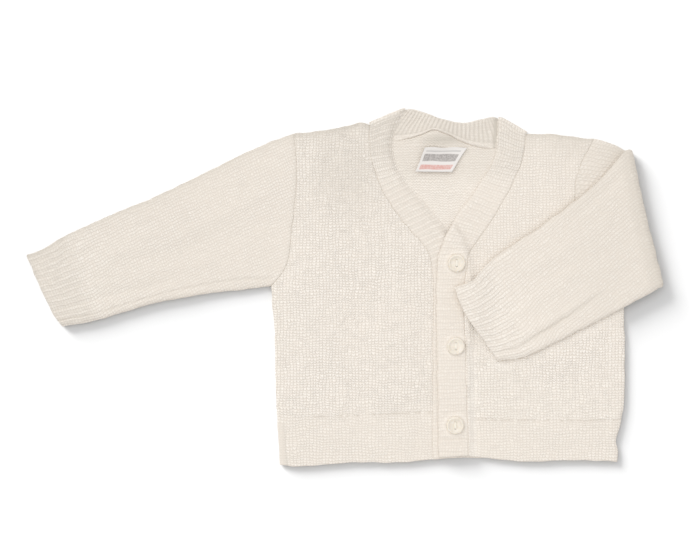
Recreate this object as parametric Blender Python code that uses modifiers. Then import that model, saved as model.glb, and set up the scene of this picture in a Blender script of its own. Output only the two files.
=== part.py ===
"""Baby cardigan, laid flat on its back with the wearer's left sleeve folded over the front.

Millimetres inside the functions, metres in the meshes. +Z is up, +Y points to the neck, and the
wearer's right is at -X. The back panel rests on z = 0, the fronts lie on it, and the wearer's left
band lies on the right one. Every piece of cloth is one closed wall: a slab between an under side
and an upper side, or a flattened tube between an outer and an inner ring.
"""

import math

import bmesh
import bpy
import numpy as np

MM = 0.001

# Driving sizes.
WALL = 1.8
SEAM_GAP = 0.5
LAYER_GAP = 0.3
BAND_WIDTH = 20.0
RIB_PITCH = 4.4
RIB_RISE = 0.5
CUFF_DEPTH = 27.0
CUFF_RIBS = 13
RIGHT_SLEEVE_LENGTH = 178.0
FOLDED_LENGTH = 137.0
SLEEVE_EDGE_RADIUS = 3.5
SLEEVE_SWELL = 1.7
SLEEVE_HOLLOW = 0.16
FOLDED_SLEEVE_HEIGHT = 4.2
SLEEVE_FOLD_STEPS = 4
LABEL_WALL = 1.0
BUTTON_RADIUS = 6.3
BUTTON_HEIGHT = 2.6
BUTTON_HOLE_RADIUS = 0.8
BUTTON_HOLE_SPACING = 4.0

# Heights of the undersides of the layers.
FRONT_FLOOR = WALL + LAYER_GAP
PLACKET_LIFT = WALL + RIB_RISE + LAYER_GAP
BUTTON_FLOOR = FRONT_FLOOR + PLACKET_LIFT + WALL + RIB_RISE + LAYER_GAP
CUFF_OVER_BAND = BUTTON_FLOOR + RIB_RISE + 0.1
FOLDED_SLEEVE_FLOOR = 5.0
LABEL_FLOOR = WALL + 0.7

# Where the layers above the band step down to the front: start beyond the lower band, and length.
PLACKET_STEP_START = 5.0
PLACKET_STEP = 6.0
CUFF_STEP_X = 88.0
CUFF_STEP = 18.0

# Outlines of the pieces as they lie: x, y. Sides run up from the hem, armholes up from the underarm,
# shoulders and hems from -X to +X, and sleeve edges from the shoulder or underarm to the cuff.
RIGHT_SIDE = [(-46.0, -124.6), (-47.7, -96.0), (-49.3, -60.0), (-49.6, -35.0), (-51.2, -14.0), (-52.3, 0.8)]
RIGHT_ARMHOLE = [(-52.3, 0.8), (-43.0, 12.5), (-37.5, 42.5), (-34.5, 82.0), (-36.0, 107.8)]
RIGHT_SHOULDER = [(-36.0, 107.8), (-15.0, 110.2), (3.5, 113.8), (9.0, 115.2), (16.4, 115.0)]
RIGHT_HEM = [(-46.0, -124.6), (-34.0, -125.4), (-12.0, -123.8), (5.0, -122.5), (36.5, -122.7), (60.6, -120.7)]
LEFT_SIDE = [
    (190.2, -121.9), (190.8, -115.5), (189.7, -107.5), (190.8, -102.0), (193.3, -92.5), (195.1, -80.0),
    (195.0, -60.0), (195.0, -34.0), (195.0, -16.0), (194.0, -2.0),
]
LEFT_ARMHOLE = [(194.0, -2.0), (180.0, 11.0), (164.0, 44.0), (160.5, 68.0), (165.0, 87.0), (174.0, 104.0)]
LEFT_SHOULDER = [(126.6, 108.0), (142.0, 107.5), (150.0, 106.9), (162.0, 105.2), (174.0, 104.0)]
LEFT_HEM = [(86.0, -117.6), (102.0, -119.8), (128.5, -122.0), (152.0, -121.1), (170.0, -121.3), (190.2, -121.9)]
BACK_HEM = [
    (-46.0, -124.6), (-34.0, -125.4), (-12.0, -123.8), (5.0, -122.5), (36.5, -122.7), (68.0, -119.5),
    (102.0, -119.8), (128.5, -122.0), (152.0, -121.1), (170.0, -121.3), (190.2, -121.9),
]

RIGHT_SLEEVE_TOP = [
    (-36.0, 107.8), (-46.0, 104.8), (-61.6, 99.0), (-85.5, 86.7), (-128.0, 66.1), (-177.9, 44.8), (-200.9, 33.8),
    (-208.2, 29.0), (-215.0, 25.7), (-223.8, 22.8),
]
RIGHT_SLEEVE_UNDER = [
    (-52.3, 0.8), (-77.0, -2.3), (-95.0, -4.0), (-110.0, -6.6), (-127.0, -9.6), (-157.0, -17.8), (-173.0, -22.7), (-198.3, -27.6),
]
RIGHT_CUFF = [(-223.8, 22.8), (-220.1, 14.6), (-213.3, -1.0), (-208.2, -12.0), (-203.6, -20.5), (-198.3, -27.6)]

LEFT_SLEEVE_TOP = [(174.0, 104.0), (184.0, 101.6), (190.5, 98.8), (195.9, 96.1)]
LEFT_SLEEVE_UNDER = [(194.0, -2.0), (207.0, -1.0), (218.6, -0.3)]
LEFT_FOLD = [(195.9, 96.1), (206.5, 47.1), (218.6, -0.3)]
FOLDED_TOP = [(195.9, 96.1), (176.5, 74.5), (136.0, 42.5), (101.0, 18.5), (87.0, 4.5), (75.5, 0.0)]
FOLDED_UNDER = [(218.6, -0.3), (210.3, -5.4), (196.0, -13.1), (150.5, -36.5), (122.5, -49.0), (106.5, -51.5)]
LEFT_CUFF = [(75.5, 0.0), (82.5, -17.0), (95.0, -35.0), (106.5, -51.5)]

# Creases along the sleeves: place across from the top edge, half width across, depth, start and end
# along the stretch that they lie on. The first of each sleeve runs beside its underarm seam.
RIGHT_SLEEVE_CREASES = [(0.92, 0.06, 0.7, 0.05, 1.0), (0.79, 0.06, 0.5, 0.45, 0.9)]
FOLDED_SLEEVE_CREASES = [(0.88, 0.06, 0.8, 0.25, 1.0), (0.79, 0.06, 0.6, 0.5, 1.0)]

# The front and neck band in three stretches: x, y of its seam edge, then x, y of its free edge.
RIGHT_BAND = [
    (61.0, -120.3, 80.0, -119.0),
    (61.0, -37.0, 80.0, -37.0),
    (61.0, 9.0, 80.0, 13.5),
    (59.0, 22.0, 77.0, 29.0),
    (40.0, 46.5, 58.5, 55.5),
    (24.5, 70.5, 40.0, 77.5),
    (17.5, 93.0, 33.0, 95.5),
    (16.5, 103.0, 34.0, 108.0),
    (17.0, 113.2, 41.9, 124.4),
]
NECK_BAND = [
    (17.0, 113.2, 41.9, 124.4),
    (28.0, 103.5, 46.3, 124.9),
    (43.5, 104.0, 54.2, 123.0),
    (63.0, 110.0, 67.2, 118.4),
    (81.5, 102.0, 82.0, 115.4),
    (99.5, 97.5, 97.0, 118.4),
    (118.5, 101.0, 103.8, 119.6),
    (126.6, 108.0, 105.5, 118.6),
]
LEFT_BAND = [
    (126.6, 108.0, 105.5, 118.6),
    (123.5, 89.0, 103.5, 93.0),
    (111.0, 61.5, 91.0, 69.0),
    (95.5, 37.0, 74.5, 45.0),
    (86.0, 22.0, 64.5, 21.5),
    (84.0, 8.0, 63.8, 8.0),
    (84.0, -54.0, 64.0, -54.0),
    (86.0, -117.6, 65.0, -118.9),
]
BAND_ACROSS = np.array([0.0, 0.09, 0.2, 0.6, 1.0])
BAND_SEAM_RIDGE = np.array([0.5, 1.4, 0.1, 0.0, 0.0])
BAND_FOLD_STEPS = 4
NECK_SHOWS = (37.0, 103.0)
NECK_SHOWS_EASE = 7.0

# The back neck stands off the table in a low hump: middle x, half length, height, reach into the
# panel and the band, and y of the seam there.
NECK_HUMP_X = 63.0
NECK_HUMP_HALF = 26.0
NECK_HUMP_HEIGHT = 4.0
NECK_HUMP_REACH = 20.0
NECK_SEAM_Y = 108.0

BUTTON_PLACES = [(77.5, 17.0), (77.0, -41.0), (76.5, -96.4)]
LABEL_CORNERS = [(48.0, 81.5), (74.5, 81.0), (86.0, 96.0), (55.5, 98.0)]
LABEL_CURL = 1.6

# Where the rows and columns of the panels lie, as fractions of an edge.
SIDE_ROWS = np.linspace(0.0, 1.0, 9)
ARMHOLE_ROWS = np.linspace(0.0, 1.0, 13)
RIGHT_FRONT_COLUMNS = np.linspace(0.0, 1.0, 11)
LEFT_FRONT_COLUMNS = np.array([0.0, 0.03, 0.06, 0.1, 0.22, 0.36, 0.5, 0.64, 0.78, 0.9, 1.0])
BACK_NECK_COLUMNS = np.array([0, 3, 6, 9, 13, 19, 26, 34, 42, 50, 58, 66, 74, 82, 88, 92, 96, 100]) / 100
SHOULDER_COLUMNS = np.linspace(0.0, 1.0, 4)


# Curves and surfaces.

def smooth(points, steps=16):
    """Points of a smooth line through the given ones, in any number of dimensions."""
    points = np.array(points, float)
    spans = np.linalg.norm(np.diff(points, axis=0), axis=1)
    slopes = np.diff(points, axis=0) / spans[:, None]
    inner = (slopes[:-1] * spans[1:, None] + slopes[1:] * spans[:-1, None]) / (spans[1:] + spans[:-1])[:, None]
    tangents = np.vstack([slopes[:1], inner, slopes[-1:]])
    line = []
    for start, end, leave, arrive, span in zip(points, points[1:], tangents, tangents[1:], spans):
        t = np.linspace(0.0, 1.0, steps, endpoint=False)[:, None]
        line.append(
            (2 * t**3 - 3 * t**2 + 1) * start
            + (t**3 - 2 * t**2 + t) * span * leave
            + (3 * t**2 - 2 * t**3) * end
            + (t**3 - t**2) * span * arrive
        )
    return np.vstack(line + [points[-1:]])


def lengths(line):
    """Distance of each point of a line from its start."""
    return np.concatenate([[0.0], np.cumsum(np.linalg.norm(np.diff(line, axis=0), axis=1))])


def along(points, fractions, offset=0.0):
    """Points at fractions of the length of the smooth line through the given ones, moved to its left."""
    line = smooth(points)[:, :2]
    if offset:
        line = shifted(line, offset)
    reach = lengths(line)
    return np.column_stack([np.interp(fractions * reach[-1], reach, axis) for axis in line.T])


def shifted(line, distance):
    """A flat line moved to its left by a distance."""
    heading = np.gradient(line, axis=0)
    heading /= np.linalg.norm(heading, axis=1)[:, None]
    return line + distance * np.column_stack([-heading[:, 1], heading[:, 0]])


def joined(*lines):
    """Lines end to end, each sharing its first point with the end of the one before."""
    return np.vstack([lines[0]] + [line[1:] for line in lines[1:]])


def patch(left, right, bottom, top):
    """Flat grid between four edges that meet at the corners: rows from bottom to top, columns left to right."""
    v = (lengths(left) / lengths(left)[-1])[:, None, None]
    u = (lengths(bottom) / lengths(bottom)[-1])[None, :, None]
    across = (1 - u) * left[:, None] + u * right[:, None]
    upward = (1 - v) * bottom[None] + v * top[None]
    corners = (1 - v) * ((1 - u) * bottom[0] + u * bottom[-1]) + v * ((1 - u) * top[0] + u * top[-1])
    return across + upward - corners


def ease(value):
    """Smooth step from 0 to 1."""
    value = np.clip(value, 0.0, 1.0)
    return value * value * (3 - 2 * value)


def raised(grid, height):
    """A flat grid given heights."""
    return np.dstack([grid, np.broadcast_to(height, grid.shape[:2])])


# Heights.

def placket_lift(x, y):
    """Rise of the wearer's left layers where they lie on the right band, eased off beyond its free edge."""
    free_edge = smooth(RIGHT_BAND)[:, 2:]
    beyond = x - np.interp(y, free_edge[:, 1], free_edge[:, 0])
    return PLACKET_LIFT * (1 - ease((beyond - PLACKET_STEP_START) / PLACKET_STEP))


def neck_hump(x, distance):
    """Rise of the back neck at a distance from its seam."""
    shape = ease(1 - np.abs(x - NECK_HUMP_X) / NECK_HUMP_HALF)
    return NECK_HUMP_HEIGHT * shape * ease(1 - distance / NECK_HUMP_REACH)


def folded_floor(x):
    """Underside of the folded sleeve: higher where it reaches over the band."""
    over_band = 1 - ease((x - CUFF_STEP_X) / CUFF_STEP)
    return FOLDED_SLEEVE_FLOOR + (CUFF_OVER_BAND - FOLDED_SLEEVE_FLOOR) * over_band


# Solids.

def new_object(name, bm, material, collection):
    """A smooth shaded object from a bmesh in millimetres."""
    bmesh.ops.recalc_face_normals(bm, faces=bm.faces)
    bmesh.ops.scale(bm, vec=(MM, MM, MM), verts=bm.verts)
    mesh = bpy.data.meshes.new(name)
    bm.to_mesh(mesh)
    bm.free()
    mesh.materials.append(material)
    mesh.shade_smooth()
    mesh.set_sharp_from_angle(angle=math.radians(50))
    obj = bpy.data.objects.new(name, mesh)
    collection.objects.link(obj)
    return obj


def add_sheet(bm, grid, closed=False):
    """Adds a grid of points and the faces between them, and gives back its vertices in rows."""
    rows = [[bm.verts.new(point) for point in row] for row in grid]
    for lower, upper in zip(rows, rows[1:]):
        columns = range(len(lower) if closed else len(lower) - 1)
        for i in columns:
            j = (i + 1) % len(lower)
            bm.faces.new((lower[i], lower[j], upper[j], upper[i]))
    return rows


def add_rim(bm, first, second, closed=False):
    """Joins two edges, point by point."""
    for i in range(len(first) if closed else len(first) - 1):
        j = (i + 1) % len(first)
        bm.faces.new((first[i], first[j], second[j], second[i]))


def slab(name, under, upper, material, collection):
    """Closed wall between two grids of the same size."""
    bm = bmesh.new()
    low = add_sheet(bm, under)
    high = add_sheet(bm, upper)
    add_rim(bm, low[0], high[0])
    add_rim(bm, low[-1], high[-1])
    add_rim(bm, [row[0] for row in low], [row[0] for row in high])
    add_rim(bm, [row[-1] for row in low], [row[-1] for row in high])
    return new_object(name, bm, material, collection)


def tube(name, outer, inner, material, collection):
    """Open tube with a wall: outer and inner rings, joined at both ends."""
    bm = bmesh.new()
    outside = add_sheet(bm, outer, closed=True)
    inside = add_sheet(bm, inner, closed=True)
    add_rim(bm, outside[0], inside[0], closed=True)
    add_rim(bm, outside[-1], inside[-1], closed=True)
    return new_object(name, bm, material, collection)


# Panels.

def back_panel(material, collection):
    """The back, flat on the table, its neck edge along the seam of the neck band."""
    left = joined(along(RIGHT_SIDE, SIDE_ROWS), along(RIGHT_ARMHOLE, ARMHOLE_ROWS))
    right = joined(along(LEFT_SIDE, SIDE_ROWS), along(LEFT_ARMHOLE, ARMHOLE_ROWS))
    neck = along(NECK_BAND, BACK_NECK_COLUMNS, -SEAM_GAP)
    top = np.vstack([
        along(RIGHT_SHOULDER, SHOULDER_COLUMNS)[:-1],
        neck,
        along(LEFT_SHOULDER, SHOULDER_COLUMNS)[1:],
    ])
    bottom = along(BACK_HEM, lengths(top) / lengths(top)[-1])
    grid = patch(left, right, bottom, top)
    distance = np.linalg.norm(grid - top[None], axis=2)
    under = neck_hump(grid[..., 0], distance)
    return slab("back_panel", raised(grid, under), raised(grid, under + WALL), material, collection)


def right_front(material, collection):
    """The wearer's right front, from side seam and armhole to the band."""
    left = joined(along(RIGHT_SIDE, SIDE_ROWS), along(RIGHT_ARMHOLE, ARMHOLE_ROWS))
    right = along(RIGHT_BAND, lengths(left) / lengths(left)[-1], SEAM_GAP)
    bottom = along([*RIGHT_HEM[:-1], right[0]], RIGHT_FRONT_COLUMNS)
    top = along([*RIGHT_SHOULDER[:-1], right[-1]], RIGHT_FRONT_COLUMNS)
    grid = patch(left, right, bottom, top)
    return slab("right_front", raised(grid, FRONT_FLOOR), raised(grid, FRONT_FLOOR + WALL), material, collection)


def left_front(material, collection):
    """The wearer's left front, stepping up at the band that overlaps the other one."""
    right = joined(along(LEFT_SIDE, SIDE_ROWS), along(LEFT_ARMHOLE, ARMHOLE_ROWS))
    left = along(LEFT_BAND[::-1], lengths(right) / lengths(right)[-1], -SEAM_GAP)
    bottom = along([left[0], *LEFT_HEM[1:]], LEFT_FRONT_COLUMNS)
    top = along([left[-1], *LEFT_SHOULDER[1:]], LEFT_FRONT_COLUMNS)
    grid = patch(left, right, bottom, top)
    under = FRONT_FLOOR + placket_lift(grid[..., 0], grid[..., 1])
    return slab("left_front", raised(grid, under), raised(grid, under + WALL), material, collection)


# Sleeves.

def crease_depth(creases, across, station):
    """Depth of a sleeve's creases across one section."""
    depth = np.zeros_like(across)
    for place, half_width, deepest, start, end in creases:
        run = ease((station - start) / 0.15) * ease((end - station) / 0.15 + 1)
        depth += deepest * run * ease(1 - np.abs(across - place) / half_width)
    return depth


def sleeve_rings(middle, normals, heights, rib_rise, depths):
    """Outer and inner rings of a flattened sleeve.

    middle holds a row of points across the sleeve for each section, from its top edge to its under
    edge, halfway up the tube. normals point out of its front, and heights are the outer heights.
    rib_rise is the rise of every second point on the front and the rear, and depths are the depths of
    the creases there.
    """
    outer = []
    inner = []
    for row, normal, height, rise, depth in zip(middle, normals, heights, rib_rise, depths):
        reach = lengths(row)
        width = reach[-1]
        fraction = reach / width
        edge = np.minimum(reach, width - reach)
        shape = np.sqrt(1 - (1 - np.minimum(edge / SLEEVE_EDGE_RADIUS, 1)) ** 2)[:, None]
        ribs = (np.arange(len(row)) % 2)[:, None]
        front = row + normal * (shape * height / 2 + ribs * rise[0] - depth[0][:, None])
        rear = row - normal * (shape * height / 2 + ribs * rise[1] - depth[1][:, None])
        inset = WALL + fraction * (width - 2 * WALL)
        core = np.column_stack([np.interp(inset, reach, axis) for axis in row.T])
        hollow = SLEEVE_HOLLOW / 2 + shape * (height / 2 - WALL - SLEEVE_HOLLOW / 2)
        inner_front = core + normal * hollow
        inner_rear = core - normal * hollow
        outer.append(np.vstack([front, rear[-2:0:-1]]))
        inner.append(np.vstack([inner_front, inner_rear[-2:0:-1]]))
    return np.array(outer), np.array(inner)


def sleeve_sections(start, end, top_edge, under_edge, stations):
    """Rows of points across a sleeve at fractions of its length, its edges taken to the ends' corners."""
    top = along([start[0], *top_edge[1:-1], end[0]], stations)
    under = along([start[-1], *under_edge[1:-1], end[-1]], stations)
    return patch(top, under, start, end)


def right_sleeve(material, collection):
    """The wearer's right sleeve, lying straight out from the armhole."""
    across = np.linspace(0.0, 1.0, 2 * CUFF_RIBS + 1)
    cuff_start = 1 - CUFF_DEPTH / RIGHT_SLEEVE_LENGTH
    stations = np.concatenate([np.linspace(0.0, cuff_start, 9), [cuff_start + 0.012, 1.0]])
    armhole = along(RIGHT_ARMHOLE[::-1], across, -SEAM_GAP)
    flat = sleeve_sections(armhole, along(RIGHT_CUFF, across), RIGHT_SLEEVE_TOP, RIGHT_SLEEVE_UNDER, stations)
    heights = 2 * WALL + LAYER_GAP + SLEEVE_SWELL * ease(2 * stations)
    middle = np.array([raised(row[None], height / 2)[0] for row, height in zip(flat, heights)])
    normals = np.tile([0.0, 0.0, 1.0], (len(stations), 1))
    rib_rise = np.outer(stations > cuff_start, [RIB_RISE, 0.0])
    smooth_side = np.zeros_like(across)
    depths = [(crease_depth(RIGHT_SLEEVE_CREASES, across, station), smooth_side) for station in stations]
    outer, inner = sleeve_rings(middle, normals, heights, rib_rise, depths)
    return tube("right_sleeve", outer, inner, material, collection)


def left_sleeve(material, collection):
    """The wearer's left sleeve: out from the armhole, turned over at the fold and back across the front."""
    across = np.linspace(0.0, 1.0, 2 * CUFF_RIBS + 1)
    height = FOLDED_SLEEVE_HEIGHT
    armhole = along(LEFT_ARMHOLE[::-1], across, SEAM_GAP)
    fold = along(LEFT_FOLD, across)
    below = sleeve_sections(armhole, fold, LEFT_SLEEVE_TOP, LEFT_SLEEVE_UNDER, np.array([0.0, 0.3, 0.65, 1.0]))
    cuff_start = 1 - CUFF_DEPTH / FOLDED_LENGTH
    stations = np.concatenate([np.linspace(0.0, cuff_start, 8), [cuff_start + 0.015, 0.9, 1.0]])
    above = sleeve_sections(fold, along(LEFT_CUFF, across), FOLDED_TOP, FOLDED_UNDER, stations)

    low_middle = height / 2
    high_middle = folded_floor(above[..., 0]) + height / 2
    turn_middle = (low_middle + high_middle[0, 0]) / 2
    turn_radius = turn_middle - low_middle
    run = fold[-1] - fold[0]
    outward = np.array([-run[1], run[0], 0.0]) / np.linalg.norm(run)
    up = np.array([0.0, 0.0, 1.0])

    middle = [raised(row[None], low_middle)[0] for row in below]
    normals = [up] * len(below)
    for angle in np.linspace(0.0, math.pi, SLEEVE_FOLD_STEPS + 2)[1:-1]:
        away = outward * math.sin(angle) - up * math.cos(angle)
        middle.append(raised(fold[None], turn_middle)[0] + turn_radius * away)
        normals.append(-away)
    middle += [raised(row[None], level)[0] for row, level in zip(above, high_middle)]
    normals += [-up] * len(above)
    heights = np.concatenate([[2 * WALL + LAYER_GAP], np.full(len(middle) - 1, height)])
    before = len(middle) - len(above)
    rib_rise = np.outer(np.concatenate([np.zeros(before), stations > cuff_start]), [RIB_RISE, RIB_RISE])
    smooth_side = np.zeros_like(across)
    creases = [crease_depth(FOLDED_SLEEVE_CREASES, across, station) for station in stations]
    depths = [(smooth_side, smooth_side)] * before + [(smooth_side, crease) for crease in creases]
    outer, inner = sleeve_rings(middle, normals, heights, rib_rise, depths)
    return tube("left_sleeve", outer, inner, material, collection)


# Band.

def band_stretch(table, floor):
    """Sections of a flat stretch of band, two to each rib: middle points across, and their normals."""
    rows = smooth(table)
    reach = lengths((rows[:, :2] + rows[:, 2:]) / 2)
    count = 2 * round(reach[-1] / RIB_PITCH) + 1
    at = np.linspace(0.0, reach[-1], count)
    rows = np.column_stack([np.interp(at, reach, column) for column in rows.T])
    across = BAND_ACROSS[None, :, None]
    flat = rows[:, None, :2] * (1 - across) + rows[:, None, 2:] * across
    return raised(flat, floor(flat[..., 0], flat[..., 1]) + WALL / 2)


def band_fold(row, outward, angles, high, low):
    """Sections of the band as it turns over at a side of the neck, and their normals."""
    turn_middle = (high + low) / 2
    turn_radius = (high - low) / 2
    axis = np.column_stack([row[:, :2], np.full(len(row), turn_middle)])
    normals = [outward * math.sin(angle) + np.array([0.0, 0.0, math.cos(angle)]) for angle in angles]
    return [axis + turn_radius * normal for normal in normals], normals


def across_fold(row, side):
    """Level direction out of the neck, square to a section."""
    run = row[-1] - row[0]
    return side * np.array([-run[1], run[0], 0.0]) / np.hypot(run[0], run[1])


def between_fronts(x):
    """1 where the back of the neck shows between the two front bands, 0 where they cover it."""
    right_end, left_end = NECK_SHOWS
    return ease((x - right_end) / NECK_SHOWS_EASE) * ease((left_end - x) / NECK_SHOWS_EASE)


def front_band(material, collection):
    """The ribbed band: up the right front, round the back of the neck and down the left front."""
    right = band_stretch(RIGHT_BAND, lambda x, y: np.full_like(x, FRONT_FLOOR))
    left = band_stretch(LEFT_BAND, lambda x, y: FRONT_FLOOR + placket_lift(x, y))
    away = BAND_WIDTH * BAND_ACROSS
    neck = band_stretch(NECK_BAND, lambda x, y: neck_hump(x, away[None]))

    high = FRONT_FLOOR + WALL / 2
    low = WALL / 2
    angles = np.linspace(0.0, math.pi, BAND_FOLD_STEPS + 2)[1:-1]
    right_fold, right_normals = band_fold(right[-1], across_fold(right[-1], 1), angles, high, low)
    left_fold, left_normals = band_fold(left[0], across_fold(left[0], -1), angles[::-1], high, low)

    up = np.array([0.0, 0.0, 1.0])
    middle = np.array([*right, *right_fold, *neck, *left_fold, *left])
    normals = np.array([*[up] * len(right), *right_normals, *[-up] * len(neck), *left_normals, *[up] * len(left)])
    ribs = np.concatenate([
        np.arange(len(right)) % 2, np.zeros(BAND_FOLD_STEPS), np.arange(len(neck)) % 2,
        np.zeros(BAND_FOLD_STEPS), np.arange(len(left)) % 2,
    ])[:, None]
    is_neck = np.concatenate([
        np.zeros(len(right_fold) + len(right)), np.ones(len(neck)), np.zeros(len(left_fold) + len(left)),
    ])[:, None]
    past_ridge = BAND_ACROSS > BAND_ACROSS[1]
    relief = ribs * RIB_RISE * past_ridge + BAND_SEAM_RIDGE
    outside = WALL / 2 + ribs * RIB_RISE * (1 - is_neck) + np.zeros_like(BAND_ACROSS)
    inside = WALL / 2 + is_neck * relief * between_fronts(middle[..., 0])
    upper = middle + normals[:, None] * outside[..., None]
    under = middle - normals[:, None] * inside[..., None]
    return slab("front_band", under, upper, material, collection)


# Label and buttons.

def neck_label(material, collection):
    """Blank woven label, lying inside the back neck with its ends curled up."""
    low_left, low_right, high_right, high_left = np.array(LABEL_CORNERS)
    rows = np.linspace(0.0, 1.0, 5)
    columns = np.linspace(0.0, 1.0, 9)
    grid = patch(
        low_left + (high_left - low_left) * rows[:, None],
        low_right + (high_right - low_right) * rows[:, None],
        low_left + (low_right - low_left) * columns[:, None],
        high_left + (high_right - high_left) * columns[:, None],
    )
    curl = LABEL_CURL * ((2 * columns[None] - 1) ** 2 + (1 - rows[:, None]) ** 2) / 2
    hump = neck_hump(grid[..., 0], NECK_SEAM_Y - grid[..., 1])
    under = LABEL_FLOOR + hump + curl
    return slab("neck_label", raised(grid, under), raised(grid, under + LABEL_WALL), material, collection)


def button_mesh():
    """Turned button with a raised rim and a dished middle."""
    radius = BUTTON_RADIUS
    profile = [
        (0.0, 1.5), (0.55 * radius, 1.6), (0.66 * radius, 2.1), (0.8 * radius, BUTTON_HEIGHT),
        (0.92 * radius, 2.3), (radius, 1.4), (0.94 * radius, 0.5), (0.75 * radius, 0.0), (0.0, 0.0),
    ]
    mesh = bpy.data.meshes.new("button_profile")
    points = [(x * MM, 0.0, z * MM) for x, z in profile]
    mesh.from_pydata(points, [(i, i + 1) for i in range(len(points) - 1)], [])
    return mesh


def button(number, place, mesh, material, collection, cutters):
    """One button on the band, with two sewing holes in line with the placket."""
    obj = bpy.data.objects.new(f"button_{number}", mesh.copy())
    obj.data.materials.append(material)
    obj.location = (place[0] * MM, place[1] * MM, BUTTON_FLOOR * MM)
    collection.objects.link(obj)
    turn = obj.modifiers.new("Turn", "SCREW")
    turn.steps = 24
    turn.render_steps = 24
    turn.use_merge_vertices = True
    turn.merge_threshold = 0.00001
    turn.use_normal_calculate = True
    for side in (-1, 1):
        bpy.ops.mesh.primitive_cylinder_add(vertices=12, radius=BUTTON_HOLE_RADIUS * MM, depth=8 * MM)
        cutter = bpy.context.object
        cutter.name = f"button_{number}_hole_{'lower' if side < 0 else 'upper'}"
        cutter.location = (obj.location.x, obj.location.y + side * BUTTON_HOLE_SPACING / 2 * MM, obj.location.z)
        cutter.hide_render = True
        cutter.display_type = "WIRE"
        for owner in list(cutter.users_collection):
            owner.objects.unlink(cutter)
        cutters.objects.link(cutter)
        hole = obj.modifiers.new("Hole", "BOOLEAN")
        hole.operation = "DIFFERENCE"
        hole.solver = "EXACT"
        hole.object = cutter
    return obj


# Scene.

def new_material(name, colour, roughness):
    material = bpy.data.materials.new(name)
    material.use_nodes = True
    shader = material.node_tree.nodes["Principled BSDF"]
    shader.inputs["Base Color"].default_value = (*colour, 1.0)
    shader.inputs["Roughness"].default_value = roughness
    shader.inputs["Metallic"].default_value = 0.0
    return material


def new_collection(name):
    collection = bpy.data.collections.new(name)
    bpy.context.scene.collection.children.link(collection)
    return collection


def main():
    for obj in list(bpy.data.objects):
        bpy.data.objects.remove(obj, do_unlink=True)
    cardigan = new_collection("baby_cardigan")
    cutters = new_collection("cutters")
    knit = new_material("cream_knit", (0.83, 0.79, 0.72), 0.95)
    satin = new_material("white_satin", (0.86, 0.86, 0.84), 0.45)
    pearl = new_material("cream_button", (0.84, 0.8, 0.72), 0.25)

    back_panel(knit, cardigan)
    right_front(knit, cardigan)
    left_front(knit, cardigan)
    right_sleeve(knit, cardigan)
    left_sleeve(knit, cardigan)
    front_band(knit, cardigan)
    neck_label(satin, cardigan)
    profile = button_mesh()
    for number, place in enumerate(BUTTON_PLACES, start=1):
        button(number, place, profile, pearl, cardigan, cutters)
    bpy.data.meshes.remove(profile)


main()
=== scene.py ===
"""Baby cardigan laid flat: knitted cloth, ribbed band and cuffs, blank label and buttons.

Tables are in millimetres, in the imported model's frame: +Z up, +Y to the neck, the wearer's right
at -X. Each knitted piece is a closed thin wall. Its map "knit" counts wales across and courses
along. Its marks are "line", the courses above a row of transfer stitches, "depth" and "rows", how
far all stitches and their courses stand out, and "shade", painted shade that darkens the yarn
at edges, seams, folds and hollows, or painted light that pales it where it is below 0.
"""

import math

import bmesh
import bpy
import numpy as np
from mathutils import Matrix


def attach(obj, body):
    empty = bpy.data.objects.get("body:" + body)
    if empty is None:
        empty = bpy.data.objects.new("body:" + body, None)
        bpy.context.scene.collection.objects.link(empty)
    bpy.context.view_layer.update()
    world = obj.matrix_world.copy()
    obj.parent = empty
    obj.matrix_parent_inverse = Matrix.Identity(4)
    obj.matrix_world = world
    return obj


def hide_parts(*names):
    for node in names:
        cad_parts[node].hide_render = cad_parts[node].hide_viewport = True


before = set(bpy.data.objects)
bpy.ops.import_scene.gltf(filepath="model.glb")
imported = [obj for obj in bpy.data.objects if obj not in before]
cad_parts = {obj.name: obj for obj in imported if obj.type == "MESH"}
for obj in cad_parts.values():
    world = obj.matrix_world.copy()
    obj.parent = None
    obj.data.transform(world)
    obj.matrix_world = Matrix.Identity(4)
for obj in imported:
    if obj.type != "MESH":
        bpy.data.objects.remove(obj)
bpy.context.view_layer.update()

MM = 0.001
UP = np.array([0.0, 0.0, 1.0])

WALL = 1.8
LAYER_GAP = 0.3
BAND_WIDTH = 20
RIB_PITCH = 4.4
NECK_RIB_PITCH = 3
RIB_RISE = 0.5
CUFF_RIB_RISE = 0.36
BAND_RIB_RISE = 0.26
CUFF_DEPTH = 27
CUFF_RIBS = 14
RIGHT_SLEEVE_LENGTH = 178
RIGHT_SLEEVE_WIDTH = 84
RIGHT_CUFF_WIDTH = 58.6
HIDDEN_LENGTH = 25
FOLDED_LENGTH = 137
FOLDED_WIDTH = 92
FOLDED_CUFF_WIDTH = 60.1
SLEEVE_EDGE_RADIUS = 3.5
SLEEVE_SWELL = 1.7
SLEEVE_HOLLOW = 0.16
FOLDED_SLEEVE_HEIGHT = 4.2
BUTTON_RADIUS = 6.3
BUTTON_HEIGHT = 2.6
BUTTON_HOLE_RADIUS = 0.8
BUTTON_HOLE_SPACING = 4
THREAD_RADIUS = 0.26
LABEL_WALL = 0.5
LABEL_CURL = 1.8

FRONT_FLOOR = WALL + LAYER_GAP
PLACKET_LIFT = WALL + RIB_RISE + LAYER_GAP
BUTTON_FLOOR = FRONT_FLOOR + PLACKET_LIFT + WALL + RIB_RISE + LAYER_GAP
CUFF_OVER_BAND = BUTTON_FLOOR + RIB_RISE + 0.1
FOLDED_SLEEVE_FLOOR = 5
LABEL_FLOOR = WALL + 0.7
SIDE_SEAM_Z = WALL + LAYER_GAP / 2

PLACKET_STEP_START = 5
PLACKET_STEP = 6
CUFF_STEP_X = 88
CUFF_STEP = 18

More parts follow.
